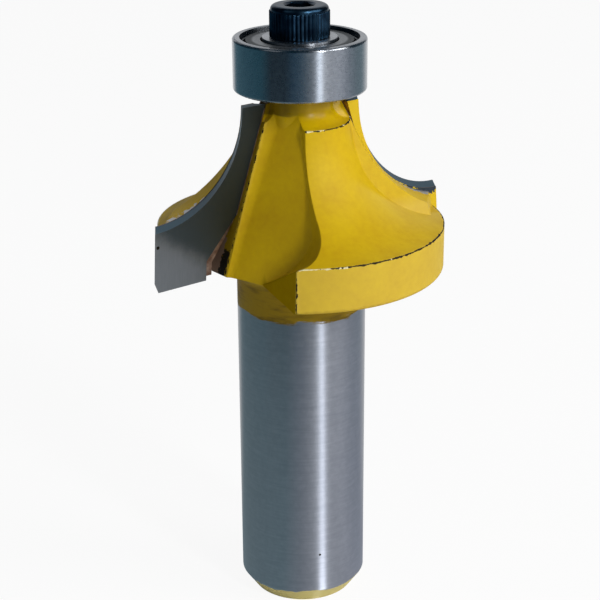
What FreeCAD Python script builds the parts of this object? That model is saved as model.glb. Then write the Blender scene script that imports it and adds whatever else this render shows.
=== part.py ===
import FreeCAD, Part
import math
import os

# Two-flute round-over router bit on a 12.7 mm shank, with a ball-bearing pilot.
# It stands on the end of its shank: +Z runs up the axis to the pilot, and the
# origin is the centre of the shank's end face. Lengths are millimetres.

os.makedirs("parts", exist_ok=True)
doc = FreeCAD.newDocument("router_bit")
sheet = doc.addObject("Spreadsheet::Sheet", "sizes")

SIZES = [
    # shank and turned blank
    ("shank_radius", 6.35),
    ("shank_end_chamfer_radial", 1.15),
    ("shank_end_chamfer_axial", 1.65),
    ("shank_length", 35.2),
    ("shank_fillet", 1.0),
    ("limiter_radius", 13.97),
    ("limiter_edge_round", 0.35),
    ("neck_radius", 3.1),
    ("lobe_drop", 1.895),
    ("pilot_gap", 1.065),
    ("neck_flare_height", 1.3),
    ("neck_flare_radius", 1.7),
    ("shoulder_radius", 2.95),
    ("shoulder_chamfer", 0.15),
    # cutting profile
    ("cutting_radius", 15.875),
    ("profile_radius", 9.525),
    ("cutting_edge_height", 5.875),
    ("limiter_depth", 1.635),
    ("tip_azimuth", 211.9),
    ("hook_angle", 5.7),
    ("axial_angle", 5.05),
    # carbide tip
    ("carbide_thickness", 1.8),
    ("carbide_top_height", 10.62),
    ("carbide_bottom_drop", 6.03),
    ("carbide_corner_width", 0.45),
    ("carbide_corner_height", 1.05),
    ("carbide_inner_width", 3.3),
    ("carbide_inner_height", 6.0),
    ("carbide_inner_land", 2.0),
    ("carbide_relief", 34.8),
    ("carbide_crest_relief", 4.8),
    ("carbide_top_relief", 14.0),
    ("carbide_bottom_relief", 9.0),
    # seat, braze and tooth
    ("seat_wall_angle", 15.5),
    ("seat_wall_position", 6.5),
    ("land_step", 0.5),
    ("braze_thickness", 0.1),
    ("braze_bead", 0.85),
    ("braze_bead_sink", 0.35),
    ("tooth_setback", 0.25),
    ("tooth_relief", 2.2),
    ("tooth_side_relief", 5.2),
    ("tooth_depth", 5.0),
    ("tooth_back_tilt", 21.0),
    # gullet
    ("gullet_core_slope", 18.0),
    ("gullet_core_lean", 15.5),
    ("gullet_core_position", 5.83),
    ("gullet_corner_radius", 1.3),
    ("gullet_wall_turn", -15.6),
    ("gullet_wall_rise", 31.4),
    ("gullet_mill_radius", 4.24),
    ("gullet_mill_across", 5.62),
    ("gullet_mill_below", 3.73),
    ("gullet_rim_wall", 5.16),
    ("gullet_wall_taper", 1.5),
    # pilot bearing
    ("bearing_outer_radius", 6.35),
    ("bearing_bore_radius", 2.381),
    ("bearing_width", 4.978),
    ("bearing_corner", 0.25),
    ("pitch_radius", 4.3655),
    ("ball_radius", 1.1905),
    ("ball_clearance", 0.012),
    ("groove_radius", 1.238),
    ("inner_land_radius", 3.55),
    ("outer_land_radius", 5.15),
    ("ball_count", 7),
    ("shield_recess_radius", 5.67),
    ("shield_recess_depth", 0.95),
    ("shield_bore_radius", 3.72),
    ("shield_step_radius", 4.9),
    ("shield_step", 0.5),
    ("shield_thickness", 0.2),
    ("shield_clearance", 0.04),
    ("wire_radius", 0.16),
    ("cage_width", 1.2),
    ("cage_thickness", 0.2),
    ("cage_clearance", 0.05),
    # pilot screw
    ("pilot_fit", 0.006),
    ("pilot_stub_gap", 0.15),
    ("screw_radius", 1.5),
    ("screw_length", 8.0),
    ("screw_head_radius", 2.75),
    ("screw_head_height", 3.0),
    ("screw_head_round", 0.45),
    ("hex_across_flats", 2.5),
    ("hex_depth", 1.5),
    ("hex_lead_in", 0.15),
    ("thread_clearance", 0.02),
    ("thread_hole_depth", 9.0),
]

for row, (name, number) in enumerate(SIZES, start=1):
    sheet.set(f"A{row}", name)
    sheet.set(f"B{row}", str(number))
    sheet.setAlias(f"B{row}", name)
doc.recompute()


class Size:
    """A length or angle with its value and the sheet expression that gives it."""

    def __init__(self, value, text):
        self.value = float(value)
        self.text = text

    def __add__(self, other):
        other = as_size(other)
        return Size(self.value + other.value, f"({self.text} + {other.text})")

    def __sub__(self, other):
        other = as_size(other)
        return Size(self.value - other.value, f"({self.text} - {other.text})")

    def __mul__(self, other):
        other = as_size(other)
        return Size(self.value * other.value, f"({self.text} * {other.text})")

    def __truediv__(self, other):
        other = as_size(other)
        return Size(self.value / other.value, f"({self.text} / {other.text})")

    def __neg__(self):
        return Size(-self.value, f"(0 - {self.text})")


def as_size(number):
    return number if isinstance(number, Size) else Size(number, repr(float(number)))


def size(name):
    return Size(sheet.get(name), f"sizes.{name}")


def sine(angle):
    return Size(math.sin(math.radians(angle.value)), f"sin({angle.text})")


def cosine(angle):
    return Size(math.cos(math.radians(angle.value)), f"cos({angle.text})")


def tangent(angle):
    return Size(math.tan(math.radians(angle.value)), f"tan({angle.text})")


def root(number):
    return Size(math.sqrt(number.value), f"sqrt({number.text})")


def place(x, y, z, yaw=0.0, pitch=0.0, roll=0.0):
    """Expression of a placement: position, then turns about Z, Y and X."""
    x, y, z, yaw, pitch, roll = [as_size(n).text for n in (x, y, z, yaw, pitch, roll)]
    return f"placement(vector({x}; {y}; {z}); rotation({yaw}; {pitch}; {roll}))"


def new_body(name):
    body = doc.addObject("PartDesign::Body", name)
    body.Label = name
    return body


def origin_feature(body, role):
    return next(f for f in body.Origin.OriginFeatures if f.Role == role)


def arc_centre(start, end, radius, bulge):
    """Centre of the arc from start to end that lies on the bulge side of its chord."""
    dx, dy = end[0] - start[0], end[1] - start[1]
    chord = math.hypot(dx, dy)
    rise = math.sqrt(max(radius**2 - chord**2 / 4, 0.0))
    return ((start[0] + end[0]) / 2 + bulge * dy / chord * rise,
            (start[1] + end[1]) / 2 - bulge * dx / chord * rise)


def outline(body, name, plane, points, arcs=None, placement=None):
    """Closed sketch through the points. arcs gives an edge its radius and side:
    +1 puts the arc's centre to the right of the edge's direction, -1 to the left."""
    arcs = arcs or {}
    sketch = body.newObject("Sketcher::SketchObject", name)
    sketch.AttachmentSupport = (origin_feature(body, plane), [""])
    sketch.MapMode = "FlatFace"
    if placement:
        sketch.setExpression("AttachmentOffset", placement)
    points = [(as_size(x), as_size(y)) for x, y in points]
    flat = [(x.value, y.value) for x, y in points]
    count = len(points)
    for i in range(count):
        start, end = flat[i], flat[(i + 1) % count]
        p, q = FreeCAD.Vector(*start, 0), FreeCAD.Vector(*end, 0)
        if i not in arcs:
            sketch.addGeometry(Part.LineSegment(p, q))
            continue
        radius, side = arcs[i]
        centre = arc_centre(start, end, as_size(radius).value, side)
        first = math.atan2(start[1] - centre[1], start[0] - centre[0])
        last = math.atan2(end[1] - centre[1], end[0] - centre[0])
        circle = Part.Circle(FreeCAD.Vector(*centre, 0), FreeCAD.Vector(0, 0, 1),
                             as_size(radius).value)
        if side < 0:
            sketch.addGeometry(Part.ArcOfCircle(circle, first, last))
        else:
            sketch.addGeometry(Part.ArcOfCircle(circle, last, first))
    import Sketcher
    for i, (x, y) in enumerate(points):
        reverse = i in arcs and arcs[i][1] > 0
        begin = 2 if reverse else 1
        before = (i - 1) % count
        before_end = 1 if before in arcs and arcs[before][1] > 0 else 2
        sketch.addConstraint(Sketcher.Constraint("Coincident", before, before_end, i, begin))
        for kind, number in (("DistanceX", x), ("DistanceY", y)):
            constraint = Sketcher.Constraint(kind, -1, 1, i, begin, number.value)
            index = sketch.addConstraint(constraint)
            sketch.setExpression(f"Constraints[{index}]", number.text)
    for i, (radius, side) in arcs.items():
        radius = as_size(radius)
        index = sketch.addConstraint(Sketcher.Constraint("Radius", i, radius.value))
        sketch.setExpression(f"Constraints[{index}]", radius.text)
    return sketch


def revolve(body, sketch):
    """Full turn of a sketch on the XZ plane about the body's Z axis."""
    feature = body.newObject("PartDesign::Revolution", f"{body.Name}_turn")
    feature.Profile = sketch
    feature.ReferenceAxis = (origin_feature(body, "Z_Axis"), [""])
    feature.Angle = 360
    return feature


def pad(body, sketch, length, middle=False, reverse=False):
    feature = body.newObject("PartDesign::Pad", f"{sketch.Name}_pad")
    feature.Profile = sketch
    feature.setExpression("Length", as_size(length).text)
    feature.Midplane = middle
    feature.Reversed = reverse
    return feature


def loft(body, first, last):
    feature = body.newObject("PartDesign::AdditiveLoft", f"{body.Name}_loft")
    feature.Profile = first
    feature.Sections = [last]
    feature.Ruled = True
    return feature


def turned(name, points, arcs=None):
    body = new_body(name)
    revolve(body, outline(body, f"{name}_profile", "XZ_Plane", points, arcs))
    return body


def combine(kind, name, pieces):
    feature = doc.addObject(kind, name)
    feature.Shapes = pieces
    return feature


def cut(name, base, tool):
    feature = doc.addObject("Part::Cut", name)
    feature.Base = base
    feature.Tool = tool
    return feature


# Heights along the axis, from the shank's end face upwards.
underside = size("shank_length")
corner_height = underside + size("cutting_edge_height")
arc_height = corner_height + size("profile_radius")
carbide_top = corner_height + size("carbide_top_height")
lobe_top = carbide_top - size("lobe_drop")
bearing_base = carbide_top + size("pilot_gap")
bearing_top = bearing_base + size("bearing_width")
bearing_middle = bearing_base + size("bearing_width") / 2
stub_top = bearing_top - size("pilot_stub_gap")

# The cutting edge is a quarter circle about this radius and height. The chip
# limiter is a turned surface about the same centre, a little deeper.
limiter_arc = size("profile_radius") + size("limiter_depth")
limiter_edge = arc_height - root(
    limiter_arc * limiter_arc
    - (size("cutting_radius") - size("limiter_radius"))
    * (size("cutting_radius") - size("limiter_radius")))
lobe_top_radius = size("cutting_radius") - root(
    limiter_arc * limiter_arc - (arc_height - lobe_top) * (arc_height - lobe_top))


# Each tooth has a frame of its own: X outwards along the carbide's face, Y out
# of that face, the way the tooth cuts, and Z up. Its origin is the point of the
# face nearest the axis at the height of the cutting corner.
face_offset = size("cutting_radius") * sine(size("hook_angle"))


def tooth_place(turn):
    yaw = size("tip_azimuth") + size("hook_angle") + turn
    return place(face_offset * sine(yaw), -(face_offset * cosine(yaw)), corner_height,
                 yaw, 0.0, -size("axial_angle"))


def up(height):
    """Height above the cutting corner, measured along the tilted face."""
    return height / cosine(size("axial_angle"))


def across(radius, height):
    """Distance along the face at which a point of the face has this radius."""
    behind = face_offset - height * tangent(size("axial_angle"))
    return root(radius * radius - behind * behind)


def seat_wall(height):
    """Distance along the face of the seat's inner wall at a height on the face."""
    return size("seat_wall_position") - height * tangent(size("seat_wall_angle"))


# The cutting edge, from the inner top corner round to the seat wall.
top = up(size("carbide_top_height"))
bottom = -up(size("carbide_bottom_drop"))
arc_start = up(size("profile_radius"))
corner = as_size(0.0)
edge_top = across(size("cutting_radius") - size("profile_radius"), size("profile_radius"))
edge_corner = across(size("cutting_radius"), corner)


def carbide_outline(back):
    """Outline of the carbide at its face or at its back, where relief moves the same
    cutting profile inwards and a little down."""
    thickness = size("carbide_thickness") if back else as_size(0.0)
    inward = thickness * tangent(size("carbide_relief"))
    down = thickness * tangent(size("carbide_crest_relief"))
    rise = thickness * tangent(size("carbide_bottom_relief"))
    crown = top - thickness * tangent(size("carbide_top_relief"))
    gap = size("braze_thickness")
    inner_top = seat_wall(corner) + gap
    foot = bottom + rise
    shoulder = foot + size("carbide_inner_land") - rise
    inner = inner_top + size("carbide_inner_width")
    edge = edge_corner - inward
    points = [
        (seat_wall(crown) + gap, crown),
        (edge_top - inward, crown),
        (edge_top - inward, arc_start - down),
        (edge, arc_start - size("profile_radius") - down),
        (edge, foot + size("carbide_corner_height")),
        (edge - size("carbide_corner_width"), foot),
        (inner, foot),
        (inner, shoulder),
        (inner_top, corner),
    ]
    return points, {2: (size("profile_radius"), -1)}


def tooth_plane(offset):
    """Sketch plane parallel to the carbide's face, in the frame of the tooth."""
    return place(0.0, offset, 0.0, 0.0, 0.0, 90.0)


def carbide_tip(name, turn):
    body = new_body(name)
    face_points, face_arcs = carbide_outline(False)
    back_points, back_arcs = carbide_outline(True)
    face = outline(body, f"{name}_face", "XY_Plane", face_points, face_arcs, tooth_plane(0.0))
    back = outline(body, f"{name}_back", "XY_Plane", back_points, back_arcs,
                   tooth_plane(-size("carbide_thickness")))
    loft(body, face, back)
    body.setExpression("Placement", tooth_place(turn))
    return body


seat_depth = size("carbide_thickness") + size("braze_thickness")


def braze_seam(name, turn):
    """Brazing alloy under the carbide, beside it and in the corner that it leaves open."""
    body = new_body(name)
    gap = size("braze_thickness")
    back_points, back_arcs = carbide_outline(True)
    sheet_points = list(back_points)
    crown = back_points[0][1]
    sheet_points[0] = (seat_wall(crown), crown)
    sheet_points[8] = (seat_wall(corner), corner)
    layer = outline(body, f"{name}_layer", "XY_Plane", sheet_points, back_arcs,
                    tooth_plane(-seat_depth))
    pad(body, layer, gap, reverse=True)
    wall_points = [(seat_wall(crown), crown), (seat_wall(crown) + gap, crown),
                   (seat_wall(corner) + gap, corner), (seat_wall(corner), corner)]
    wall = outline(body, f"{name}_wall", "XY_Plane", wall_points, None,
                   tooth_plane(-seat_depth))
    pad(body, wall, seat_depth, reverse=True)
    foot = bottom + size("carbide_thickness") * tangent(size("carbide_bottom_relief"))
    shoulder = bottom + size("carbide_inner_land")
    inner = seat_wall(corner) + gap + size("carbide_inner_width")
    bead = size("braze_bead")
    bead_points = [
        (seat_wall(corner) + gap, corner),
        (inner, shoulder),
        (inner, foot),
        (inner - bead, foot),
        (inner - bead, shoulder - bead / 2),
        (seat_wall(-bead), -bead),
        (seat_wall(corner), corner),
    ]
    fillet = outline(body, f"{name}_bead", "XY_Plane", bead_points, None,
                     tooth_plane(-seat_depth))
    pad(body, fillet, seat_depth - size("braze_bead_sink"), reverse=True)
    body.setExpression("Placement", tooth_place(turn))
    return body


def tooth(name, turn):
    """Steel tooth behind the carbide. Its crest falls away to the chip limiter."""
    body = new_body(name)
    setback = size("tooth_setback")
    core = as_size(2.0)
    foot = up(underside - corner_height)
    radius = size("profile_radius") + setback
    edge = edge_corner - setback
    front_points = [
        (core, top),
        (edge_top - setback, top),
        (edge_top - setback, arc_start),
        (edge, arc_start - root(radius * radius - setback * setback)),
        (edge, foot),
        (core, foot),
    ]
    front = outline(body, f"{name}_front", "XY_Plane", front_points, {2: (radius, -1)},
                    tooth_plane(0.0))
    fall = size("tooth_relief")
    side = size("tooth_side_relief")
    stretch = cosine(size("tooth_back_tilt"))
    back_radius = radius + fall
    back_points = [
        (core, top / stretch),
        (edge_top - fall, top / stretch),
        (edge_top - fall, arc_start / stretch),
        (edge - side, arc_start / stretch - root(back_radius * back_radius - side * side)),
        (edge - side, foot / stretch),
        (core, foot / stretch),
    ]
    back = outline(body, f"{name}_back", "XY_Plane", back_points, {2: (back_radius, -1)},
                   place(0.0, -size("tooth_depth"), 0.0, 0.0, 0.0,
                         as_size(90.0) - size("tooth_back_tilt")))
    loft(body, front, back)
    body.setExpression("Placement", tooth_place(turn))
    return body


REACH = 26.0


def gullet(name, turn, neck):
    """Chip gullet: a V between the land beside the carbide and the sloping core,
    closed at its far side by the wall that a milling cutter leaves."""
    valley = new_body(f"{name}_valley")
    lean = size("gullet_core_lean")
    vertex = size("gullet_core_position")
    land = size("land_step")
    run = size("gullet_corner_radius") * tangent((as_size(90.0) - lean) / 2)
    far = as_size(REACH)
    valley_points = [
        (far, land),
        (far, far),
        (vertex - (far - land) * tangent(lean), far),
        (vertex - run * sine(lean), land + run * cosine(lean)),
        (vertex + run, land),
    ]
    section = outline(valley, f"{name}_section", "XY_Plane", valley_points,
                      {3: (size("gullet_corner_radius"), -1)},
                      place(0.0, 0.0, 0.0, 0.0, -size("gullet_core_slope"), 0.0))
    pad(valley, section, 2 * REACH, middle=True)
    valley.setExpression("Placement", tooth_place(turn))

    wall = new_body(f"{name}_wall")
    radius = size("gullet_mill_radius")
    across_mill = size("gullet_mill_across")
    below = size("gullet_mill_below")
    rim = size("gullet_rim_wall")
    taper = size("gullet_wall_taper")
    side_x = across_mill - radius * cosine(taper)
    side_z = -below + radius * sine(taper)
    wall_points = [
        (rim, -far),
        (rim, -below - root(radius * radius - (across_mill - rim) * (across_mill - rim))),
        (side_x, side_z),
        (side_x - (far - side_z) * tangent(taper), far),
        (far, far),
        (far, -far),
    ]
    reach = outline(wall, f"{name}_reach", "XY_Plane", wall_points, {1: (radius, 1)},
                    place(0.0, 0.0, 0.0, size("gullet_wall_turn"), 0.0,
                          as_size(90.0) + size("gullet_wall_rise")))
    pad(wall, reach, 2 * REACH, middle=True)
    wall.setExpression("Placement", tooth_place(turn))
    swept = combine("Part::MultiCommon", f"{name}_swept", [valley, wall])
    return cut(name, swept, neck)


def seat(name, turn):
    """Space for the carbide, from the land down to the face that it is brazed to."""
    body = new_body(name)
    high = top + 2.0
    low = bottom - 2.0
    seat_points = [
        (seat_wall(top), high),
        (as_size(REACH), high),
        (as_size(REACH), low),
        (seat_wall(low), low),
        (seat_wall(top), top),
    ]
    floor = outline(body, f"{name}_floor", "XY_Plane", seat_points, None,
                    tooth_plane(-seat_depth))
    pad(body, floor, seat_depth + size("land_step") + 1.0, reverse=True)
    body.setExpression("Placement", tooth_place(turn))
    return body


# Cutter body: shank, chip limiter, neck and pilot stub in one turned piece, with
# two teeth added and two gullets and carbide seats cut.
limiter_round = size("limiter_edge_round")
blank = turned("blank", [
    (0.0, 0.0),
    (size("shank_radius") - size("shank_end_chamfer_radial"), 0.0),
    (size("shank_radius"), size("shank_end_chamfer_axial")),
    (size("shank_radius"), underside - size("shank_fillet")),
    (size("shank_radius") + size("shank_fillet"), underside),
    (size("limiter_radius") - limiter_round, underside),
    (size("limiter_radius"), underside + limiter_round),
    (size("limiter_radius"), limiter_edge),
    (lobe_top_radius, lobe_top),
    (size("neck_radius"), lobe_top + size("neck_flare_height")),
    (size("neck_radius"), bearing_base - size("shoulder_chamfer")),
    (size("shoulder_radius"), bearing_base),
    (size("bearing_bore_radius") - size("pilot_fit"), bearing_base),
    (size("bearing_bore_radius") - size("pilot_fit"), stub_top),
    (0.0, stub_top),
], {3: (size("shank_fillet"), 1), 5: (limiter_round, -1), 7: (limiter_arc, 1),
    8: (size("neck_flare_radius"), 1)})

neck = doc.addObject("Part::Cylinder", "neck_core")
neck.setExpression("Radius", size("neck_radius").text)
neck.setExpression("Height", (bearing_base - underside).text)
neck.setExpression("Placement", place(0.0, 0.0, underside))

thread_hole = doc.addObject("Part::Cylinder", "thread_hole")
thread_hole.setExpression("Radius", (size("screw_radius") + size("thread_clearance")).text)
thread_hole.setExpression("Height", size("thread_hole_depth").text)
thread_hole.setExpression("Placement", place(0.0, 0.0, stub_top - size("thread_hole_depth")))

TURNS = {1: 0.0, 2: 180.0}
teeth = [tooth(f"tooth_{n}", turn) for n, turn in TURNS.items()]
hollows = [gullet(f"gullet_{n}", turn, neck) for n, turn in TURNS.items()]
hollows += [seat(f"seat_{n}", turn) for n, turn in TURNS.items()]
solid = combine("Part::MultiFuse", "toothed_blank", [blank] + teeth)
removed = combine("Part::MultiFuse", "removed", hollows + [thread_hole])
cutter_body = cut("cutter_body", solid, removed)

carbides = [carbide_tip(f"carbide_tip_{n}", turn) for n, turn in TURNS.items()]
seams = [braze_seam(f"braze_seam_{n}", turn) for n, turn in TURNS.items()]


# Pilot bearing: two rings, seven caged balls and a shield at each end, held by a
# spring wire in the outer ring.
def raceway(land, side):
    """Half width of the groove where it meets a ring's land."""
    depth = (land - size("pitch_radius")) * side
    centre = size("groove_radius") - size("ball_radius") - size("ball_clearance")
    reach = depth + centre
    return root(size("groove_radius") * size("groove_radius") - reach * reach)


half_width = size("bearing_width") / 2
corner_round = size("bearing_corner")
inner_groove = raceway(size("inner_land_radius"), -1)
inner_ring = turned("bearing_inner_ring", [
    (size("bearing_bore_radius"), bearing_base),
    (size("inner_land_radius"), bearing_base),
    (size("inner_land_radius"), bearing_middle - inner_groove),
    (size("inner_land_radius"), bearing_middle + inner_groove),
    (size("inner_land_radius"), bearing_top),
    (size("bearing_bore_radius"), bearing_top),
], {2: (size("groove_radius"), 1)})

outer_groove = raceway(size("outer_land_radius"), 1)
recess = size("shield_recess_radius")
recess_depth = size("shield_recess_depth")
outer_ring = turned("bearing_outer_ring", [
    (recess, bearing_base),
    (size("bearing_outer_radius") - corner_round, bearing_base),
    (size("bearing_outer_radius"), bearing_base + corner_round),
    (size("bearing_outer_radius"), bearing_top - corner_round),
    (size("bearing_outer_radius") - corner_round, bearing_top),
    (recess, bearing_top),
    (recess, bearing_top - recess_depth),
    (size("outer_land_radius"), bearing_top - recess_depth),
    (size("outer_land_radius"), bearing_middle + outer_groove),
    (size("outer_land_radius"), bearing_middle - outer_groove),
    (size("outer_land_radius"), bearing_base + recess_depth),
    (recess, bearing_base + recess_depth),
], {1: (corner_round, -1), 3: (corner_round, -1), 8: (size("groove_radius"), 1)})


def shield(name, face, out):
    """Formed steel shield: a raised face round the inner ring and a flange on the ledge.
    out is +1 at the top of the bearing and -1 at its base."""
    ledge = face - out * recess_depth
    flange = ledge + out * size("shield_thickness")
    lifted = ledge + out * size("shield_step")
    crown = lifted + out * size("shield_thickness")
    bore, step = size("shield_bore_radius"), size("shield_step_radius")
    rim = recess - size("shield_clearance")
    wall = size("shield_thickness")
    return turned(name, [
        (bore, lifted), (step, lifted), (step, ledge), (rim, ledge), (rim, flange),
        (step + wall, flange), (step + wall, crown), (bore, crown),
    ])


def retaining_wire(name, face, out):
    """Spring wire that lies on the shield's flange against the wall of the recess."""
    wire = doc.addObject("Part::Torus", name)
    wire.Label = name
    radius = size("wire_radius")
    wire.setExpression("Radius1", (recess - size("shield_clearance") - radius).text)
    wire.setExpression("Radius2", radius.text)
    height = face - out * (recess_depth - size("shield_thickness") - radius)
    wire.setExpression("Placement", place(0.0, 0.0, height))
    return wire


upward, downward = as_size(1.0), as_size(-1.0)
shields = [shield("shield_upper", bearing_top, upward),
           shield("shield_lower", bearing_base, downward)]
wires = [retaining_wire("shield_wire_upper", bearing_top, upward),
         retaining_wire("shield_wire_lower", bearing_base, downward)]

BALLS = int(sheet.get("ball_count"))


def ball_place(index):
    angle = as_size(360.0) / size("ball_count") * index
    return place(size("pitch_radius") * cosine(angle), size("pitch_radius") * sine(angle),
                 bearing_middle)


def sphere(name, radius, index):
    ball = doc.addObject("Part::Sphere", name)
    ball.Label = name
    ball.setExpression("Radius", radius.text)
    ball.setExpression("Placement", ball_place(index))
    return ball


balls = [sphere(f"ball_{i + 1}", size("ball_radius"), i) for i in range(BALLS)]


def tube(name, inner, outer, base, height):
    pieces = []
    for part, radius in (("outer", outer), ("inner", inner)):
        cylinder = doc.addObject("Part::Cylinder", f"{name}_{part}")
        cylinder.setExpression("Radius", radius.text)
        cylinder.setExpression("Height", height.text)
        cylinder.setExpression("Placement", place(0.0, 0.0, base))
        pieces.append(cylinder)
    return cut(name, pieces[0], pieces[1])


def cage(name, out):
    """Half of the pressed cage: a flat ribbon with a round pocket over every ball.
    The two halves meet at the middle of the bearing."""
    inner = size("pitch_radius") - size("cage_width") / 2
    outer = size("pitch_radius") + size("cage_width") / 2
    pocket = size("ball_radius") + size("cage_clearance")
    shell = pocket + size("cage_thickness")
    ribbon_base = bearing_middle if out > 0 else bearing_middle - size("cage_thickness")
    band_base = bearing_middle if out > 0 else bearing_middle - shell
    ribbon = tube(f"{name}_ribbon", inner, outer, ribbon_base, size("cage_thickness"))
    band = tube(f"{name}_band", inner, outer, band_base, shell)
    domes = [sphere(f"{name}_dome_{i}", shell, i) for i in range(BALLS)]
    domed = combine("Part::MultiFuse", f"{name}_domes", domes)
    cups = combine("Part::MultiCommon", f"{name}_cups", [domed, band])
    half = combine("Part::MultiFuse", f"{name}_half", [ribbon, cups])
    room = [sphere(f"{name}_room_{i}", pocket, i) for i in range(BALLS)]
    rooms = combine("Part::MultiFuse", f"{name}_rooms", room)
    return cut(name, half, rooms)


cages = [cage("cage_upper", 1), cage("cage_lower", -1)]

# Socket-head screw that clamps the inner ring on the pilot stub.
head_top = bearing_top + size("screw_head_height")
head_round = size("screw_head_round")
cap_screw = turned("cap_screw", [
    (0.0, bearing_top - size("screw_length")),
    (size("screw_radius"), bearing_top - size("screw_length")),
    (size("screw_radius"), bearing_top),
    (size("screw_head_radius"), bearing_top),
    (size("screw_head_radius"), head_top - head_round),
    (size("screw_head_radius") - head_round, head_top),
    (0.0, head_top),
], {4: (head_round, -1)})
hex_radius = size("hex_across_flats") / (2 * math.cos(math.radians(30.0)))
hexagon = [(hex_radius * cosine(as_size(60.0 * i)), hex_radius * sine(as_size(60.0 * i)))
           for i in range(6)]
socket = outline(cap_screw, "hex_socket", "XY_Plane", hexagon, None,
                 place(0.0, 0.0, head_top))
socket_cut = cap_screw.newObject("PartDesign::Pocket", "hex_pocket")
socket_cut.Profile = socket
socket_cut.setExpression("Length", size("hex_depth").text)
lead_in = hex_radius + size("hex_lead_in")
cone = outline(cap_screw, "hex_lead", "XZ_Plane", [
    (0.0, head_top), (lead_in, head_top), (0.0, head_top - lead_in / 2),
])
lead_cut = cap_screw.newObject("PartDesign::Groove", "hex_lead_cut")
lead_cut.Profile = cone
lead_cut.ReferenceAxis = (origin_feature(cap_screw, "Z_Axis"), [""])
lead_cut.Angle = 360

doc.recompute()

nodes = [cutter_body, *carbides, *seams, inner_ring, outer_ring, *shields, *wires,
         *balls, *cages, cap_screw]
faults = [f"{o.Name}: {state}" for o in doc.Objects for state in o.State
          if state in ("Invalid", "Error")]
for node in nodes:
    if node.Shape.isNull() or not node.Shape.isValid() or not node.Shape.Solids:
        faults.append(f"{node.Name}: no valid solid")
if faults:
    raise RuntimeError("; ".join(faults))
for node in nodes:
    node.Shape.exportStep(f"parts/{node.Label}.step")
    print(f"{node.Label}: {len(node.Shape.Solids)} solid, volume {node.Shape.Volume:.2f}")
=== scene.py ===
import math
import bpy
from mathutils import Matrix, Vector


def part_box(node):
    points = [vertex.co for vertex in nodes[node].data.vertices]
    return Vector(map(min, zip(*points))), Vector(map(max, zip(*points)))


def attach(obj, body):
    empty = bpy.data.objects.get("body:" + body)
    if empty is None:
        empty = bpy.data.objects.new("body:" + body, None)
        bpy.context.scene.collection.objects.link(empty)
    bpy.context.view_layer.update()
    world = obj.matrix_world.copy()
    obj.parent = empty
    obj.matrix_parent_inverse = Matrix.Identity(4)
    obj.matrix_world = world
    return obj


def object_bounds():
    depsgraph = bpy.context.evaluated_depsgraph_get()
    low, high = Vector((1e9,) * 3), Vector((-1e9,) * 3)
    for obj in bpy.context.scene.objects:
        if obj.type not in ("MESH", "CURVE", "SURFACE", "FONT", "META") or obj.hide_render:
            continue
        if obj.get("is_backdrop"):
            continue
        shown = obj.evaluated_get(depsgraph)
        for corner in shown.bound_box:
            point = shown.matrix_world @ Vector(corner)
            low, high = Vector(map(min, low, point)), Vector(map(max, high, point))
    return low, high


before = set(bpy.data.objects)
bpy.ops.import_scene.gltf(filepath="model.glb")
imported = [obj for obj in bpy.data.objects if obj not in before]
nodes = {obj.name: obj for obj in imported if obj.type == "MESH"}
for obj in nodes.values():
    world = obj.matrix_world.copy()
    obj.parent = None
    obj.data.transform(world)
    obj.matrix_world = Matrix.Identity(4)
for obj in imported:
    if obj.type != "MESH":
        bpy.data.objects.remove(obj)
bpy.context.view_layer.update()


# Cutter body: one steel piece, turned, milled and ground. The cutter end is sprayed
# with yellow enamel that laps onto the shank in a ragged edge. The enamel is thick and
# soft at the corners, chipped along the sharp edges, and burnt dark and painted with shade
# in the brazed seats.
def linear(hex_code):
    """sRGB hex colour as the linear RGBA that a shader takes."""
    channels = [int(hex_code[i:i + 2], 16) / 255 for i in (1, 3, 5)]
    return [c / 12.92 if c <= 0.04045 else ((c + 0.055) / 1.055) ** 2.4
            for c in channels] + [1.0]


def add(kind, inputs=(), **settings):
    """Adds a node to the tree in hand. Inputs go by name or, in a list, by place."""
    node = tree.nodes.new("ShaderNode" + kind)
    for name, value in settings.items():
        setattr(node, name, value)
    pairs = inputs.items() if isinstance(inputs, dict) else enumerate(inputs)
    for key, value in pairs:
        if isinstance(value, bpy.types.Node):
            value = value.outputs[0]
        if isinstance(value, bpy.types.NodeSocket):
            tree.links.new(value, node.inputs[key])
        else:
            node.inputs[key].default_value = value
    return node


def new_material(name):
    """Starts a material and takes its tree in hand."""
    global tree
    material = bpy.data.materials.new(name)
    material.use_nodes = True
    tree = material.node_tree
    tree.nodes.clear()
    return material


def millimetres():
    """The place being shaded, in millimetres from the middle of the shank's end."""
    place = add("TexCoord").outputs["Object"]
    return add("VectorMath", {0: place, "Scale": 1000.0}, operation="SCALE")


def paint(material, *names):
    """Gives CAD nodes a material in place of the plain one from the record."""
    for name in names:
        slots = nodes[name].material_slots
        if not slots:
            nodes[name].data.materials.append(material)
        for slot in slots:
            slot.material = material


ENAMEL = linear("#D2B004")
ENAMEL_WORN = linear("#C29A06")
ENAMEL_PAINTED_SHEEN = linear("#D9C06A")
ENAMEL_THIN_SHADED = linear("#6E5908")
ENAMEL_HIGHLIGHT = linear("#EBD36A")
CHIP_DARK = linear("#211C10")
CHIP_BRIGHT = linear("#E4DCAE")
SEAT_SOOT_AND_SHADE = linear("#1B1710")
SEAT_BRAZE = linear("#7C6656")
DUST_AND_SHADE = linear("#463507")
END_ENAMEL = linear("#D6C77E")
STEEL_DARK = linear("#9C9FA4")
STEEL_LIGHT = linear("#A9ABB0")

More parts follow.
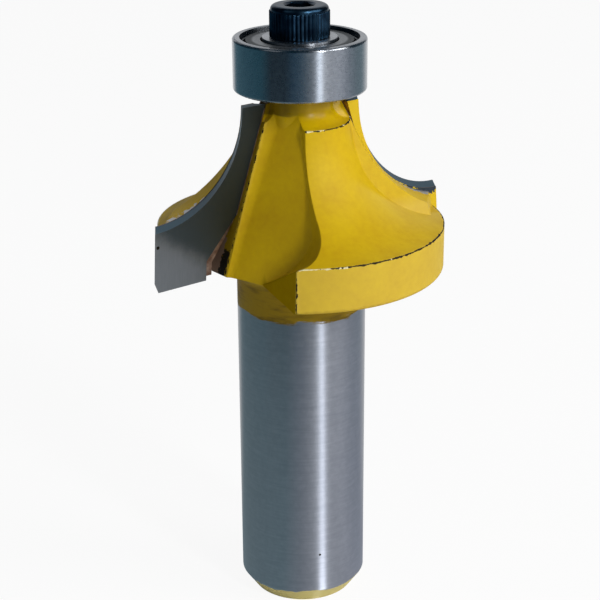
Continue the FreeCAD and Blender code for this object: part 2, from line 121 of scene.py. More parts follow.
# Heights and radii in millimetres, from the shank's end face.
PAINT_LAP = 31.3
END_CHAMFER = 0.75
UNDERSIDE = 35.2
POOL_FROM = 49.7
BEARING_SHADOW_FROM = 50.55
RIM_EDGE = (13.97, 39.604, 0.0)
LOBE_EDGE = (4.744, 49.8, 0.0)
RIM_END_ASIDE = 0.44
INSIDE_RIM = 13.9
RIM_SHEEN_FROM = 13.75
RIM_SHEEN_TO = 13.95
PIT_PLACE = (1.73, -6.11, 5.82)
PIT_RADIUS = 0.12

# How far the enamel rounds the corners, in metres, and how strongly it mirrors.
EDGE_ROUND = 0.00016
ENAMEL_SHEEN = 0.2

# How wide a chip is along the turned edges and along a land's edge, in millimetres.
TURNED_CHIP = 0.095
LAND_CHIP = 0.03

# A tooth's own frame: X outwards along the carbide's face, Y out of it, Z up. Lengths
# are in millimetres and angles in degrees.
CUTTING_RADIUS = 15.875
HOOK_ANGLE = 5.7
FACE_OFFSET = CUTTING_RADIUS * math.sin(math.radians(HOOK_ANGLE))
CORNER_HEIGHT = 41.075
TOOTH_YAW = 217.6
AXIAL_ANGLE = 5.05
SEAT_WALL = 6.5
SEAT_WALL_SLOPE = math.tan(math.radians(15.5))
LAND = 0.5
PROFILE_RADIUS = 9.525
PROFILE_CENTRE = 15.8
END_WALL_YAW = 202.0
END_WALL_OFFSET = 5.69
SEAT_BACK = -1.96
SEAT_FRONT = 0.42
BRAZED_BEHIND = -0.6
SOOT_AND_SHADE_BELOW = -3.6
GROUND_BAND = 0.93
GROUND_BACK = -3.6
GROUND_FROM = 8.2
CORE_EDGE = 4.1
SHEEN_BACK = -9.5
SHEEN_FRONT = -5.2
SHEEN_ROOT = 0.5
SHEEN_OUT = 5.0


def tooth_frame(point, turn):
    """Where a point is in the frame of tooth 1, or of tooth 2 with a turn of 180."""
    yaw = math.radians(TOOTH_YAW + turn)
    return add("Mapping", {
        "Vector": point,
        "Location": (FACE_OFFSET * math.sin(yaw), -FACE_OFFSET * math.cos(yaw),
                     CORNER_HEIGHT),
        "Rotation": (-math.radians(AXIAL_ANGLE), 0.0, yaw),
    }, vector_type="TEXTURE")


body_finish = new_material("yellow enamel over ground tool steel")
here = millimetres()
axes = add("SeparateXYZ", [here])
height = axes.outputs["Z"]
flat = add("VectorMath", [here, (1.0, 1.0, 0.0)], operation="MULTIPLY")
radius = add("VectorMath", [flat], operation="LENGTH").outputs["Value"]
section = add("CombineXYZ", [radius, height])

# Flecks of about half a millimetre break every edge line up.
flecks = add("TexNoise", {"Vector": here, "Scale": 1.7, "Detail": 4.0, "Roughness": 0.65})
flecks_off = add("Math", [flecks, 0.5], operation="SUBTRACT")
patches = add("TexNoise", {"Vector": here, "Scale": 0.33, "Detail": 2.0})

# Chips on the rim's and the lobe's turned edges, wider where the flecks are strong.
rim_gap = add("VectorMath", [section, RIM_EDGE], operation="DISTANCE").outputs["Value"]
lobe_gap = add("VectorMath", [section, LOBE_EDGE], operation="DISTANCE").outputs["Value"]
turned_gap = add("Math", [rim_gap, lobe_gap], operation="MINIMUM")
ragged_gap = add("Math", [flecks_off, -0.5, turned_gap], operation="MULTIPLY_ADD")
turned_chip = add("Math", [ragged_gap, TURNED_CHIP], operation="LESS_THAN")

# Beside each carbide: chips on the land's edge with a painted highlight along it, the
# seat's wall darkened by dirt and painted shade with braze at its back and soot and painted
# shade low down, the band along the crest that the grinding wheel bared, dust and painted
# shade in the corner across the gullet, and a painted sheen on the tooth's back.
def crest_distance(out, up):
    """How far a point of a tooth's frame lies from the centre of its cutting arc."""
    sideways = add("Math", [out, PROFILE_CENTRE], operation="SUBTRACT")
    upwards = add("Math", [up, PROFILE_RADIUS], operation="SUBTRACT")
    from_centre = add("CombineXYZ", [sideways, upwards])
    return add("VectorMath", [from_centre], operation="LENGTH").outputs["Value"]


masks = []
for turn in (0.0, 180.0):
    out, ahead, up = add("SeparateXYZ", [tooth_frame(here, turn)]).outputs
    wall = add("Math", [up, -SEAT_WALL_SLOPE, SEAT_WALL], operation="MULTIPLY_ADD")
    from_wall = add("Math", [out, wall], operation="SUBTRACT")
    from_land = add("Math", [ahead, LAND], operation="SUBTRACT")
    corner = add("CombineXYZ", [from_wall, from_land])
    gap = add("VectorMath", [corner], operation="LENGTH").outputs["Value"]
    side = 1.0 if turn else -1.0
    rim_end = (RIM_END_ASIDE * side, RIM_EDGE[0] * side, 0.0)
    end_gap = add("VectorMath", [flat, rim_end], operation="DISTANCE").outputs["Value"]
    gap = add("Math", [gap, end_gap], operation="MINIMUM")
    ragged = add("Math", [flecks_off, -0.7, gap], operation="MULTIPLY_ADD")
    chip = add("Math", [ragged, LAND_CHIP], operation="LESS_THAN")
    # Painted highlight along the land's edge.
    pale = add("MapRange", {"Value": gap, "From Min": 0.35, "From Max": 0.1})

    # The seat's wall in the recess, darkened partly by dirt and partly by painted shade.
    on_wall = add("Math", [from_wall, -0.08], operation="GREATER_THAN")
    edge = add("Math", [flecks_off, 0.5, ahead], operation="MULTIPLY_ADD")
    edge = add("Math", [edge, SEAT_FRONT], operation="LESS_THAN")
    on_wall = add("Math", [on_wall, edge], operation="MULTIPLY")
    in_seat = add("Math", [ahead, SEAT_BACK], operation="GREATER_THAN")
    on_wall = add("Math", [on_wall, in_seat], operation="MULTIPLY")
    run = add("Math", [flecks_off, 1.6, ahead], operation="MULTIPLY_ADD")
    run = add("Math", [run, BRAZED_BEHIND], operation="LESS_THAN")
    brazed = add("Math", [on_wall, run], operation="MULTIPLY")
    # Low in the seat: soot and the painted shade of the deep recess.
    low_down = add("Math", [flecks_off, 6.0, up], operation="MULTIPLY_ADD")
    low_down = add("Math", [low_down, SOOT_AND_SHADE_BELOW], operation="LESS_THAN")
    soot_and_shade_low = add("Math", [on_wall, low_down], operation="MULTIPLY")

    crest = add("Math", [flecks_off, 1.6, crest_distance(out, up)],
                operation="MULTIPLY_ADD")
    bare = add("Math", [crest, PROFILE_RADIUS + GROUND_BAND], operation="LESS_THAN")
    behind = add("Math", [ahead, GROUND_BACK], operation="GREATER_THAN")
    bare = add("Math", [bare, behind], operation="MULTIPLY")
    far_out = add("Math", [out, GROUND_FROM], operation="GREATER_THAN")
    bare = add("Math", [bare, far_out], operation="MULTIPLY")

    # Dust and painted shade in the corner under the rim, across the gullet.
    facing = math.radians(END_WALL_YAW + turn)
    off_wall = add("VectorMath", [here, (math.cos(facing), math.sin(facing), 0.0)],
                   operation="DOT_PRODUCT").outputs["Value"]
    off_wall = add("Math", [off_wall, END_WALL_OFFSET], operation="SUBTRACT")
    off_wall = add("Math", [off_wall], operation="ABSOLUTE")
    dust_and_shade = add("MapRange", {"Value": off_wall, "From Min": 0.3, "From Max": 0.15})
    inside = add("Math", [radius, INSIDE_RIM], operation="LESS_THAN")
    dust_and_shade = add("Math", [dust_and_shade, inside], operation="MULTIPLY")
    along = facing + math.pi / 2
    along_wall = add("VectorMath", [here, (math.cos(along), math.sin(along), 0.0)],
                     operation="DOT_PRODUCT").outputs["Value"]
    past_core = add("MapRange", {"Value": along_wall, "From Min": CORE_EDGE,
                                 "From Max": 4.6})
    dust_and_shade = add("Math", [dust_and_shade, past_core], operation="MULTIPLY")

    # Painted sheen on the tooth's back, behind the seat.
    back_sheen = add("MapRange", {"Value": ahead, "From Min": SHEEN_BACK,
                              "From Max": SHEEN_FRONT})
    short_of_seat = add("MapRange", {"Value": ahead, "From Min": -4.7,
                                     "From Max": SHEEN_FRONT})
    back_sheen = add("Math", [back_sheen, short_of_seat], operation="MULTIPLY")
    off_root = add("MapRange", {"Value": out, "From Min": SHEEN_ROOT,
                                "From Max": SHEEN_OUT})
    back_sheen = add("Math", [back_sheen, off_root], operation="MULTIPLY")
    masks.append((chip, pale, soot_and_shade_low, brazed, bare, dust_and_shade, on_wall, back_sheen))
edge_chip, edge_highlight, seat_soot_and_shade, brazed, ground, dust_and_shade, on_wall, back_sheen = [
    add("Math", pair, operation="MAXIMUM") for pair in zip(*masks)]

# Where the enamel ends on the shank, and the enamel that the end chamfer was dipped in.
streaks = add("Mapping", {"Vector": here, "Scale": (0.35, 0.35, 1.9),
                          "Rotation": (0.0, math.radians(14.0), 0.0)})
streak = add("TexNoise", {"Vector": streaks, "Scale": 1.0, "Detail": 5.0, "Roughness": 0.6})
streak_off = add("Math", [streak, 0.5], operation="SUBTRACT")
lap = add("Math", [streak_off, 1.5, height], operation="MULTIPLY_ADD")
lapped = add("MapRange", {"Value": lap, "From Min": PAINT_LAP - 0.05,
                          "From Max": PAINT_LAP + 0.12})
waves = add("TexNoise", {"Vector": here, "Scale": 0.5, "Detail": 3.0})
end_edge = add("Math", [waves, -1.5, height], operation="MULTIPLY_ADD")
dipped = add("Math", [end_edge, END_CHAMFER], operation="LESS_THAN")
enamelled = add("Math", [lapped, dipped], operation="MAXIMUM")
kept = add("Math", [1.0, ground], operation="SUBTRACT")
enamelled = add("Math", [enamelled, kept], operation="MULTIPLY")

# Enamel colour: a little uneven all over, with a painted sheen on the rim and the teeth's
# backs, dirty and matt where dust lies with painted shade there too, a painted shadow of
# the bearing on the neck, and thin, streaked and darkened with painted shade on the shank.
tone = add("Math", [patches, flecks], operation="ADD")
tone = add("MapRange", {"Value": tone, "From Min": 0.68, "From Max": 1.5})
colour = add("Mix", {0: tone, 6: ENAMEL, 7: ENAMEL_WORN}, data_type="RGBA").outputs[2]
# Painted sheen on the rim and on the teeth's backs.
painted_sheen = add("MapRange", {"Value": radius, "From Min": RIM_SHEEN_FROM,
                          "From Max": RIM_SHEEN_TO, "To Max": 0.23})
back_sheen = add("Math", [back_sheen, 0.3], operation="MULTIPLY")
painted_sheen = add("Math", [painted_sheen, back_sheen], operation="MAXIMUM")
colour = add("Mix", {0: painted_sheen, 6: colour, 7: ENAMEL_PAINTED_SHEEN}, data_type="RGBA").outputs[2]
# Painted shadow that the bearing casts on the neck, deeper on the side away from the lamps.
painted_bearing_shadow = add("Math", [streak_off, 1.5, height], operation="MULTIPLY_ADD")
painted_bearing_shadow = add("MapRange", {"Value": painted_bearing_shadow, "From Min": BEARING_SHADOW_FROM,
                                 "From Max": BEARING_SHADOW_FROM + 0.25, "To Max": 0.68})
unlit = add("MapRange", {"Value": axes.outputs["X"], "From Min": 0.9, "From Max": -1.2})
painted_bearing_shadow = add("Math", [painted_bearing_shadow, unlit], operation="MULTIPLY")
sheen = add("Math", [dust_and_shade, -ENAMEL_SHEEN, ENAMEL_SHEEN], operation="MULTIPLY_ADD")
# The dust colour stands for dust with painted shade in the gullet's corner, and for the
# bearing's painted shadow.
dust_and_shade = add("Math", [dust_and_shade, 0.52], operation="MULTIPLY")
dust_and_shade = add("Math", [dust_and_shade, painted_bearing_shadow], operation="MAXIMUM")
colour = add("Mix", {0: dust_and_shade, 6: colour, 7: DUST_AND_SHADE}, data_type="RGBA").outputs[2]
# Thin, streaked enamel on the shank, also darkened as painted shade under the cutter.
on_shank = add("MapRange", {"Value": height, "From Min": UNDERSIDE,
                            "From Max": UNDERSIDE - 0.6})
thin_and_shaded = add("MapRange", {"Value": streak, "From Min": 0.46, "From Max": 0.62})
thin_and_shaded = add("Math", [thin_and_shaded, on_shank], operation="MULTIPLY")
thin_and_shaded = add("Math", [thin_and_shaded, 0.5, on_shank], operation="MULTIPLY_ADD")
thin_and_shaded = add("Math", [thin_and_shaded, 0.62], operation="MULTIPLY")
colour = add("Mix", {0: thin_and_shaded, 6: colour, 7: ENAMEL_THIN_SHADED}, data_type="RGBA").outputs[2]
colour = add("Mix", {0: dipped, 6: colour, 7: END_ENAMEL}, data_type="RGBA").outputs[2]
# Painted highlight along each land's edge.
half_highlight = add("Math", [edge_highlight, 0.15], operation="MULTIPLY")
colour = add("Mix", {0: half_highlight, 6: colour, 7: ENAMEL_HIGHLIGHT}, data_type="RGBA").outputs[2]
# The seat's wall darkened with dirt and painted shade.
wall_dirt_and_shade = add("Math", [on_wall, 0.7], operation="MULTIPLY")
colour = add("Mix", {0: wall_dirt_and_shade, 6: colour, 7: DUST_AND_SHADE}, data_type="RGBA").outputs[2]
# Soot and painted shade low in the seat.
colour = add("Mix", {0: seat_soot_and_shade, 6: colour, 7: SEAT_SOOT_AND_SHADE}, data_type="RGBA").outputs[2]
colour = add("Mix", {0: brazed, 6: colour, 7: SEAT_BRAZE}, data_type="RGBA").outputs[2]

glints = add("TexNoise", {"Vector": here, "Scale": 0.9, "Detail": 3.0})
leftward = add("Math", [axes.outputs["X"], -0.03, glints], operation="MULTIPLY_ADD")
bright = add("Math", [leftward, 0.43], operation="GREATER_THAN")
chip_colour = add("Mix", {0: bright, 6: CHIP_DARK, 7: CHIP_BRIGHT},
                  data_type="RGBA").outputs[2]
colour = add("Mix", {0: turned_chip, 6: colour, 7: chip_colour},
             data_type="RGBA").outputs[2]
colour = add("Mix", {0: edge_chip, 6: colour, 7: CHIP_DARK}, data_type="RGBA").outputs[2]

# The spray's orange peel, the soft corners, and enamel that pooled glossy by the neck.
peel = add("TexNoise", {"Vector": here, "Scale": 1.3, "Detail": 2.0})
softened = add("Bevel", {"Radius": EDGE_ROUND}, samples=6)
skin = add("Bump", {"Height": peel, "Strength": 0.12, "Distance": 0.00012,
                    "Normal": softened})
gloss = add("MapRange", {"Value": flecks, "To Min": 0.5, "To Max": 0.62})
pooled = add("MapRange", {"Value": height, "From Min": POOL_FROM,
                          "From Max": POOL_FROM + 0.5, "To Max": -0.27})
gloss = add("Math", [gloss, pooled], operation="ADD")
enamel = add("BsdfPrincipled", {"Base Color": colour, "Roughness": gloss, "Normal": skin,
                                "Specular IOR Level": sheen})

# Ground steel: wheel marks run round the shank, so light draws out along its height.
rings = add("Mapping", {"Vector": here, "Scale": (0.4, 0.4, 5.0)})
marks = add("TexNoise", {"Vector": rings, "Scale": 1.0, "Detail": 3.0})
mottle = add("Math", [marks, flecks], operation="MULTIPLY")
mottle = add("MapRange", {"Value": mottle, "From Min": 0.12, "From Max": 0.38})
brushed = add("Mix", {0: mottle, 6: STEEL_DARK, 7: STEEL_LIGHT},
              data_type="RGBA").outputs[2]
pit_gap = add("VectorMath", [here, PIT_PLACE], operation="DISTANCE").outputs["Value"]
pit = add("Math", [pit_gap, PIT_RADIUS], operation="LESS_THAN")
brushed = add("Mix", {0: pit, 6: brushed, 7: CHIP_DARK}, data_type="RGBA").outputs[2]
satin = add("MapRange", {"Value": marks, "To Min": 0.3, "To Max": 0.36})
grain = add("Bump", {"Height": marks, "Strength": 0.05, "Distance": 0.00002})
lengthwise = add("CombineXYZ", [0.0, 0.0, 1.0])
steel = add("BsdfPrincipled", {"Base Color": brushed, "Metallic": 1.0, "Roughness": satin,
                               "Anisotropic": 0.8, "Tangent": lengthwise, "Normal": grain})
surface = add("MixShader", [enamelled, steel, enamel])
add("OutputMaterial", [surface])
paint(body_finish, "cutter_body")


# Carbide tips: pressed and sintered tungsten carbide, brazed into the seats and then
# diamond ground. The face is dark and dull above, with a painted reflection lightening it
# by the outer edge, and the relief behind the edge is ground bright with a blue cast that
# is a painted reflection.
TIP_REFLECTION = linear("#898B89")
TIP_DARK = linear("#4A5254")
TIP_RELIEF_REFLECTION = linear("#3C5F70")
NICK_PLACE = (15.45, 0.0, -1.4)
NICK_RADIUS = 0.17
REFLECTION_FROM = -13.1
REFLECTION_TO = -10.3
for number, turn in ((1, 0.0), (2, 180.0)):
    tip_finish = new_material(f"diamond ground carbide {number}")
    here = millimetres()
    on_tip = tooth_frame(here, turn)
    out, ahead, up = add("SeparateXYZ", [on_tip]).outputs
    clouds = add("TexNoise", {"Vector": here, "Scale": 0.55, "Detail": 4.0,
                              "Roughness": 0.6})
    cloud_off = add("Math", [clouds, 0.5], operation="SUBTRACT")
    # Painted reflection: the face lighter towards its lower, outer part, darker above.
    slant = add("Math", [out, -0.75, up], operation="MULTIPLY_ADD")
    slant = add("Math", [cloud_off, 2.0, slant], operation="MULTIPLY_ADD")
    beyond_reflection = add("MapRange", {"Value": slant, "From Min": REFLECTION_FROM, "From Max": REFLECTION_TO},
                interpolation_type="SMOOTHSTEP")
    strokes = add("Mapping", {"Vector": on_tip, "Scale": (9.0, 9.0, 0.5)})
    stroke = add("TexNoise", {"Vector": strokes, "Scale": 1.0, "Detail": 3.0})
    face = add("Mix", {0: beyond_reflection, 6: TIP_REFLECTION, 7: TIP_DARK}, data_type="RGBA").outputs[2]
    faint = add("Math", [stroke, 0.35], operation="MULTIPLY")
    face = add("Mix", {0: faint, 6: face, 7: TIP_DARK}, data_type="RGBA").outputs[2]
    # The relief's blue cast is a painted reflection.
    on_relief = add("Math", [ahead, -0.04], operation="LESS_THAN")
    colour = add("Mix", {0: on_relief, 6: face, 7: TIP_RELIEF_REFLECTION}, data_type="RGBA").outputs[2]
    nick_gap = add("VectorMath", [on_tip, NICK_PLACE],
                   operation="DISTANCE").outputs["Value"]
    nick = add("Math", [nick_gap, NICK_RADIUS], operation="LESS_THAN")
    colour = add("Mix", {0: nick, 6: colour, 7: CHIP_DARK}, data_type="RGBA").outputs[2]
    dull = add("MapRange", {"Value": beyond_reflection, "To Min": 0.36, "To Max": 0.5})
    lines = add("Bump", {"Height": stroke, "Strength": 0.1, "Distance": 0.00003})
    tip = add("BsdfPrincipled", {"Base Color": colour, "Metallic": 1.0, "Roughness": dull,
                                 "Normal": lines})
    add("OutputMaterial", [tip])
    paint(tip_finish, f"carbide_tip_{number}")


# Braze: silver alloy with copper in it, which has run into the seat beside and under
# each tip and set with a dull, slightly lumpy skin.
BRAZE_DARK = linear("#7D6152")
BRAZE_LIGHT = linear("#AF9684")
BRAZE_BURNT = linear("#4B5258")
BRAZE_BACK = -1.89
SPRAYED_WITHIN = 8.0
braze_finish = new_material("silver brazing alloy")
here = millimetres()
lumps = add("TexNoise", {"Vector": here, "Scale": 1.4, "Detail": 4.0, "Roughness": 0.6})
tint = add("MapRange", {"Value": lumps, "From Min": 0.35, "From Max": 0.68})
colour = add("Mix", {0: tint, 6: BRAZE_DARK, 7: BRAZE_LIGHT}, data_type="RGBA").outputs[2]
dull = add("MapRange", {"Value": lumps, "To Min": 0.42, "To Max": 0.62})
skin = add("Bump", {"Height": lumps, "Strength": 0.35, "Distance": 0.0001})

# The back is burnt dark, and its lower and inner part took some of the enamel's spray.
backs, sprayed = [], []
for turn in (0.0, 180.0):
    out, ahead, up = add("SeparateXYZ", [tooth_frame(here, turn)]).outputs
    back = add("Math", [ahead, BRAZE_BACK], operation="LESS_THAN")
    outward = add("Math", [out, 0.0], operation="GREATER_THAN")
    back = add("Math", [back, outward], operation="MULTIPLY")
    backs.append(back)
    crest = add("Math", [lumps, -1.6, crest_distance(out, up)], operation="MULTIPLY_ADD")
    low = add("Math", [crest, PROFILE_RADIUS - 0.05], operation="GREATER_THAN")
    inner = add("Math", [out, SPRAYED_WITHIN], operation="LESS_THAN")
    low = add("Math", [low, inner], operation="MAXIMUM")
    sprayed.append(add("Math", [back, low], operation="MULTIPLY"))
burnt = add("Math", backs, operation="MAXIMUM")
overspray = add("Math", sprayed, operation="MAXIMUM")
colour = add("Mix", {0: burnt, 6: colour, 7: BRAZE_BURNT}, data_type="RGBA").outputs[2]
alloy = add("BsdfPrincipled", {"Base Color": colour, "Metallic": 1.0, "Roughness": dull,
                               "Normal": skin})
enamel = add("BsdfPrincipled", {"Base Color": ENAMEL, "Roughness": 0.55,
                                "Specular IOR Level": 0.3})
surface = add("MixShader", [overspray, alloy, enamel])
add("OutputMaterial", [surface])
paint(braze_finish, "braze_seam_1", "braze_seam_2")


# Bearing rings: hardened chrome steel, centreless ground outside and faced flat. The
# wheel's marks run round the ring, so a lamp draws an upright streak on it.
GROOVE_GRIME_AND_SHADE = linear("#1C2930")


def ring_steel(name, dark, light, low, high, stretch, grime_and_shade_radii=(0.0, 0.0)):
    """Steel with fine marks round the bearing's axis, and grime with painted shade between
    two radii.
    """
    finish = new_material(name)
    spot = millimetres()
    level = add("VectorMath", [spot, (1.0, 1.0, 0.0)], operation="MULTIPLY")
    distance = add("VectorMath", [level], operation="LENGTH").outputs["Value"]
    along = add("SeparateXYZ", [spot]).outputs["Z"]
    fine = add("CombineXYZ", [distance, along])
    fine = add("VectorMath", [level, (0.25, 0.25, 0.0), fine], operation="MULTIPLY_ADD")
    turned = add("TexNoise", {"Vector": fine, "Scale": 7.0, "Detail": 3.0})
    specks = add("TexNoise", {"Vector": spot, "Scale": 3.2, "Detail": 3.0})
    both = add("Math", [turned, specks], operation="MULTIPLY")
    tone = add("MapRange", {"Value": both, "From Min": 0.12, "From Max": 0.38})
    shade = add("Mix", {0: tone, 6: linear(dark), 7: linear(light)},
                data_type="RGBA").outputs[2]
    # Grime and painted shade between the two radii.
    shade_in = add("MapRange", {"Value": distance, "From Min": grime_and_shade_radii[0] - 0.1,
                                "From Max": grime_and_shade_radii[0] + 0.1})
    shade_out = add("MapRange", {"Value": distance, "From Min": grime_and_shade_radii[1] + 0.1,
                                 "From Max": grime_and_shade_radii[1] - 0.1})
    grime_and_shade = add("Math", [shade_in, shade_out], operation="MULTIPLY")
    shade = add("Mix", {0: grime_and_shade, 6: shade, 7: GROOVE_GRIME_AND_SHADE}, data_type="RGBA").outputs[2]
    rough = add("MapRange", {"Value": specks, "To Min": low, "To Max": high})
    upright = add("VectorMath", [level, (0.02, 0.02, 0.0), (0.0, 0.0, 1.0)],
                  operation="MULTIPLY_ADD")
    relief = add("Bump", {"Height": turned, "Strength": 0.03, "Distance": 0.00001})
    metal = add("BsdfPrincipled", {"Base Color": shade, "Metallic": 1.0,
                                   "Roughness": rough, "Anisotropic": stretch,
                                   "Tangent": upright, "Normal": relief})
    add("OutputMaterial", [metal])
    return finish


paint(ring_steel("ground bearing steel", "#989CA2", "#A9ADB3", 0.24, 0.32, 0.8),
      "bearing_outer_ring", "bearing_inner_ring")


# Shields, wires, balls and cage: pressed mild steel sheet, drawn spring wire, polished
# balls and a pressed steel ribbon. Only the upper shield and its wire show.
# The shields' groove between these radii gets grime and painted shade.
GROOVE_RADII = (4.5, 5.2)
paint(ring_steel("pressed steel sheet", "#85888B", "#A4A7AA", 0.38, 0.5, 0.0, GROOVE_RADII),
      "shield_upper", "shield_lower")
paint(ring_steel("drawn spring wire", "#3B4046", "#5C6166", 0.3, 0.4, 0.0),
      "shield_wire_upper", "shield_wire_lower")
paint(ring_steel("polished ball steel", "#C2C4C7", "#D6D8DA", 0.08, 0.12, 0.0),
      *[name for name in nodes if name.startswith("ball_")])
paint(ring_steel("pressed cage ribbon", "#85878A", "#A0A2A4", 0.4, 0.5, 0.0),
      "cage_upper", "cage_lower")


# Cap screw: cold-headed alloy steel with a knurl rolled round its head, blackened in
# hot oxide and left slightly oily.
OXIDE_DARK = linear("#16283A")
OXIDE_WORN = linear("#2C475C")
HEAD_ROUND = 0.0001
oxide_finish = new_material("black oxide on alloy steel")
here = millimetres()
blotches = add("TexNoise", {"Vector": here, "Scale": 1.1, "Detail": 4.0})
tone = add("MapRange", {"Value": blotches, "From Min": 0.35, "From Max": 0.65})
colour = add("Mix", {0: tone, 6: OXIDE_DARK, 7: OXIDE_WORN}, data_type="RGBA").outputs[2]
oily = add("MapRange", {"Value": blotches, "To Min": 0.24, "To Max": 0.38})
softened = add("Bevel", {"Radius": HEAD_ROUND}, samples=6)
oxide = add("BsdfPrincipled", {"Base Color": colour, "Metallic": 1.0, "Roughness": oily,
                               "Normal": softened})
add("OutputMaterial", [oxide])
paint(oxide_finish, "cap_screw")

# The knurl is a ridged sleeve round the head, whose two ends turn in to the head. Its
# sizes are in metres, and its two heights are measured down from the head's top.
KNURL_TEETH = 46
KNURL_CREST = 0.00285
KNURL_ROOT = 0.002755
KNURL_BASE_DOWN = 0.0029
KNURL_TOP_DOWN = 0.00058
KNURL_END = (0.965, 0.965, 1.08)
head_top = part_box("cap_screw")[1][2]
knurl_base = head_top - KNURL_BASE_DOWN
knurl_top = head_top - KNURL_TOP_DOWN
knurl_middle = (0.0, 0.0, (knurl_base + knurl_top) / 2)
bpy.ops.object.select_all(action="DESELECT")
bpy.ops.mesh.primitive_cylinder_add(
    vertices=2 * KNURL_TEETH, radius=KNURL_CREST, depth=knurl_top - knurl_base,
    end_fill_type="NOTHING", location=knurl_middle)
knurl = bpy.context.object
knurl.name = "screw_knurl"
bpy.ops.object.transform_apply(location=True, rotation=True, scale=True)
bpy.ops.object.mode_set(mode="EDIT")
bpy.ops.mesh.select_mode(type="VERT")
bpy.ops.mesh.select_all(action="DESELECT")
bpy.ops.object.mode_set(mode="OBJECT")
for vertex in knurl.data.vertices:
    step = math.atan2(vertex.co.y, vertex.co.x) / math.tau * 2 * KNURL_TEETH
    vertex.select = round(step) % 2 == 1
bpy.ops.object.mode_set(mode="EDIT")
shrink = KNURL_ROOT / KNURL_CREST
bpy.ops.transform.resize(value=(shrink, shrink, 1.0), center_override=knurl_middle)
bpy.ops.mesh.select_all(action="SELECT")
bpy.ops.mesh.region_to_loop()
bpy.ops.mesh.extrude_region_move()
bpy.ops.transform.resize(value=KNURL_END, center_override=knurl_middle)
bpy.ops.mesh.bridge_edge_loops()
bpy.ops.mesh.select_all(action="SELECT")
bpy.ops.mesh.normals_make_consistent(inside=False)
bpy.ops.object.mode_set(mode="OBJECT")
knurl.data.materials.append(oxide_finish)
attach(knurl, "cutter")


# Camera: it looks down a little on the standing bit from its -Y side, as the
# photograph does, with the whole bit in view.
CAMERA_DISTANCE = 0.1569
CAMERA_ELEVATION = math.radians(21.32)
CAMERA_ROLL = math.radians(-0.377)
LOOK_AT = Vector((-0.000135, 0.0, 0.03127))

camera_data = bpy.data.cameras.new("camera")
camera_data.lens = 94.62
camera_data.sensor_width = 36.0
camera_data.clip_start = 0.005
camera = bpy.data.objects.new("camera", camera_data)
bpy.context.scene.collection.objects.link(camera)
away = Vector((0.0, -math.cos(CAMERA_ELEVATION), math.sin(CAMERA_ELEVATION)))
camera.matrix_world = (
    Matrix.Translation(LOOK_AT + CAMERA_DISTANCE * away)
    @ Matrix.Rotation(math.pi / 2 - CAMERA_ELEVATION, 4, "X")
    @ Matrix.Rotation(CAMERA_ROLL, 4, "Z")
)
bpy.context.scene.camera = camera
bpy.context.scene.view_settings.view_transform = "Standard"


# Floor: pale paper that keeps the bit's shadow. For glossy rays it glows with a painted
# reflection of a studio's dark and pale sides, by the direction from the bit.
FLOOR_HEIGHT = -0.00002
bpy.ops.object.select_all(action="DESELECT")
bpy.ops.mesh.primitive_plane_add(size=3.0, location=(0.0, 0.0, FLOOR_HEIGHT))
floor = bpy.context.object
floor.name = "studio_floor"
bpy.ops.object.transform_apply(location=True, rotation=True, scale=True)
floor_finish = new_material("studio paper")
spot = add("TexCoord").outputs["Object"]
axes = add("SeparateXYZ", [spot])
direction = add("Math", [axes.outputs["Y"], axes.outputs["X"]], operation="ARCTAN2")
around = add("MapRange", {"Value": direction, "From Min": -math.pi, "From Max": math.pi})
reach = add("VectorMath", [spot], operation="LENGTH").outputs["Value"]
far = add("MapRange", {"Value": reach, "From Min": 0.085, "From Max": 0.125})


def studio_sides(stops):
    """The painted studio's colour by direction, from the -X side by way of -Y."""
    ramp = add("ValToRGB", [around])
    places = sorted(stops)
    for place in places[1:-1]:
        ramp.color_ramp.elements.new(place)
    for element, place in zip(ramp.color_ramp.elements, places):
        element.position = place
        element.color = linear(stops[place])
    return ramp


close_by = studio_sides({
    0.0: "#8A9DA4", 0.17: "#8AA0A9", 0.25: "#ABB2BC", 0.31: "#C8CCD5", 0.40: "#BFC3CE",
    0.45: "#C8CCD8", 0.52: "#BCC2CF", 0.60: "#B5BBC8", 0.68: "#F2F2F2", 0.82: "#F2F2F2",
    0.88: "#8799A0", 1.0: "#8A9DA4"})
further_off = studio_sides({
    0.0: "#3F6A7A", 0.06: "#285E6F", 0.11: "#001A2C", 0.185: "#001A2C", 0.22: "#174862",
    0.26: "#486A7E", 0.31: "#8A969E", 0.38: "#DDE0E6", 0.45: "#CCD1DA", 0.49: "#AEB6C0",
    0.56: "#93A5AC", 0.61: "#8FA3AB", 0.68: "#F2F2F2", 0.82: "#F2F2F2", 0.86: "#5C7F8C",
    1.0: "#3F6A7A"})
sides = add("Mix", {0: far, 6: close_by, 7: further_off}, data_type="RGBA").outputs[2]

# A painted bright gap between two screens, glowing in the floor for glossy rays, which
# draws the thin streak on every ground wall. Its direction changes with the distance from
# the bit, which keeps the streak straight.
GAP_NEAR = math.radians(-52.4)
GAP_FAR = math.radians(-56.7)
GAP_ASIDE = 0.00207
GAP_GLARE = 5.0
gap_at = add("MapRange", {"Value": reach, "From Min": 0.08, "From Max": 0.13,
                          "To Min": GAP_NEAR, "To Max": GAP_FAR})
aside = add("Math", [GAP_ASIDE, reach], operation="DIVIDE")
gap_at = add("Math", [gap_at, aside], operation="SUBTRACT")
off_gap = add("Math", [direction, gap_at], operation="SUBTRACT")
off_gap = add("Math", [off_gap], operation="ABSOLUTE")
glare = add("MapRange", {"Value": off_gap, "From Min": 0.035, "From Max": 0.105,
                         "To Min": GAP_GLARE, "To Max": 1.0},
            interpolation_type="SMOOTHSTEP")
paper = add("BsdfDiffuse", {"Color": linear("#EDEDED")})
white = add("Emission", {"Color": (1.0, 1.0, 1.0, 1.0), "Strength": 1.0})
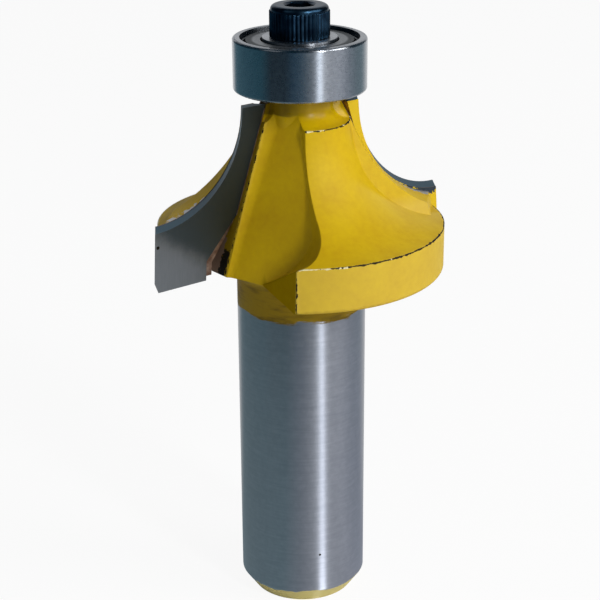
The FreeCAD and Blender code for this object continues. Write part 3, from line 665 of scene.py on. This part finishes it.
# Painted reflection: the floor glows with the studio for glossy rays only.
painted_studio_reflection = add("Emission", {"Color": sides, "Strength": glare})
path = add("LightPath")
share = add("Math", [path.outputs["Is Camera Ray"], 0.92], operation="MULTIPLY")
pale = add("MixShader", [share, paper, white])
surface = add("MixShader", [path.outputs["Is Glossy Ray"], pale, painted_studio_reflection])
add("OutputMaterial", [surface])
floor.data.materials.append(floor_finish)
floor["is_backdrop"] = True


# Backdrop: a white card behind the bit, which the enamel shows where it is seen at a
# slant.
bpy.ops.object.select_all(action="DESELECT")
bpy.ops.mesh.primitive_plane_add(size=1.5, location=(0.0, 1.3, 0.75),
                                 rotation=(math.pi / 2, 0.0, 0.0))
card = bpy.context.object
card.name = "studio_backdrop"
bpy.ops.object.transform_apply(location=True, rotation=True, scale=True)
card_finish = new_material("white card")
glow = add("Emission", {"Color": linear("#F4F6F8"), "Strength": 0.65})
add("OutputMaterial", [glow])
card.data.materials.append(card_finish)
card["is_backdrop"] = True


# Light: a narrow and a broad lamp to the right in front, a weak one on the left, and a
# dim room.
world = bpy.data.worlds.new("studio")
bpy.context.scene.world = world
world.use_nodes = True
tree = world.node_tree
tree.nodes.clear()
path = add("LightPath")
white = add("Background", {"Color": (1.0, 1.0, 1.0, 1.0), "Strength": 1.0})
room = add("Background", {"Color": linear("#F4F7FA"), "Strength": 0.2})
dark = add("Background", {"Color": linear("#1A3A4A"), "Strength": 0.7})
unseen = add("MixShader", [path.outputs["Is Glossy Ray"], room, dark])
surface = add("MixShader", [path.outputs["Is Camera Ray"], unseen, white])
add("OutputWorld", [surface])


LAMP_TARGET = Vector((0.0, 0.0, 0.035))


def soft_box(name, azimuth, elevation, distance, width, height, watts):
    """Adds a lamp that faces the cutter from a direction in degrees."""
    lamp = bpy.data.lights.new(name, "AREA")
    lamp.shape = "RECTANGLE"
    lamp.size = width
    lamp.size_y = height
    lamp.energy = watts
    box = bpy.data.objects.new(name, lamp)
    bpy.context.scene.collection.objects.link(box)
    yaw, pitch = math.radians(azimuth), math.radians(elevation)
    away = Vector((math.cos(yaw) * math.cos(pitch), math.sin(yaw) * math.cos(pitch),
                   math.sin(pitch)))
    box.matrix_world = (Matrix.Translation(LAMP_TARGET + distance * away)
                        @ away.to_track_quat("Z", "Y").to_matrix().to_4x4())


soft_box("key_lamp", 308.5, 30.0, 0.60, 0.07, 0.20, 1.7)
soft_box("side_lamp", 345.0, 34.0, 0.60, 0.30, 0.30, 1.65)
soft_box("left_lamp", 215.0, 40.0, 0.80, 0.40, 0.40, 0.2)


low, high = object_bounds()
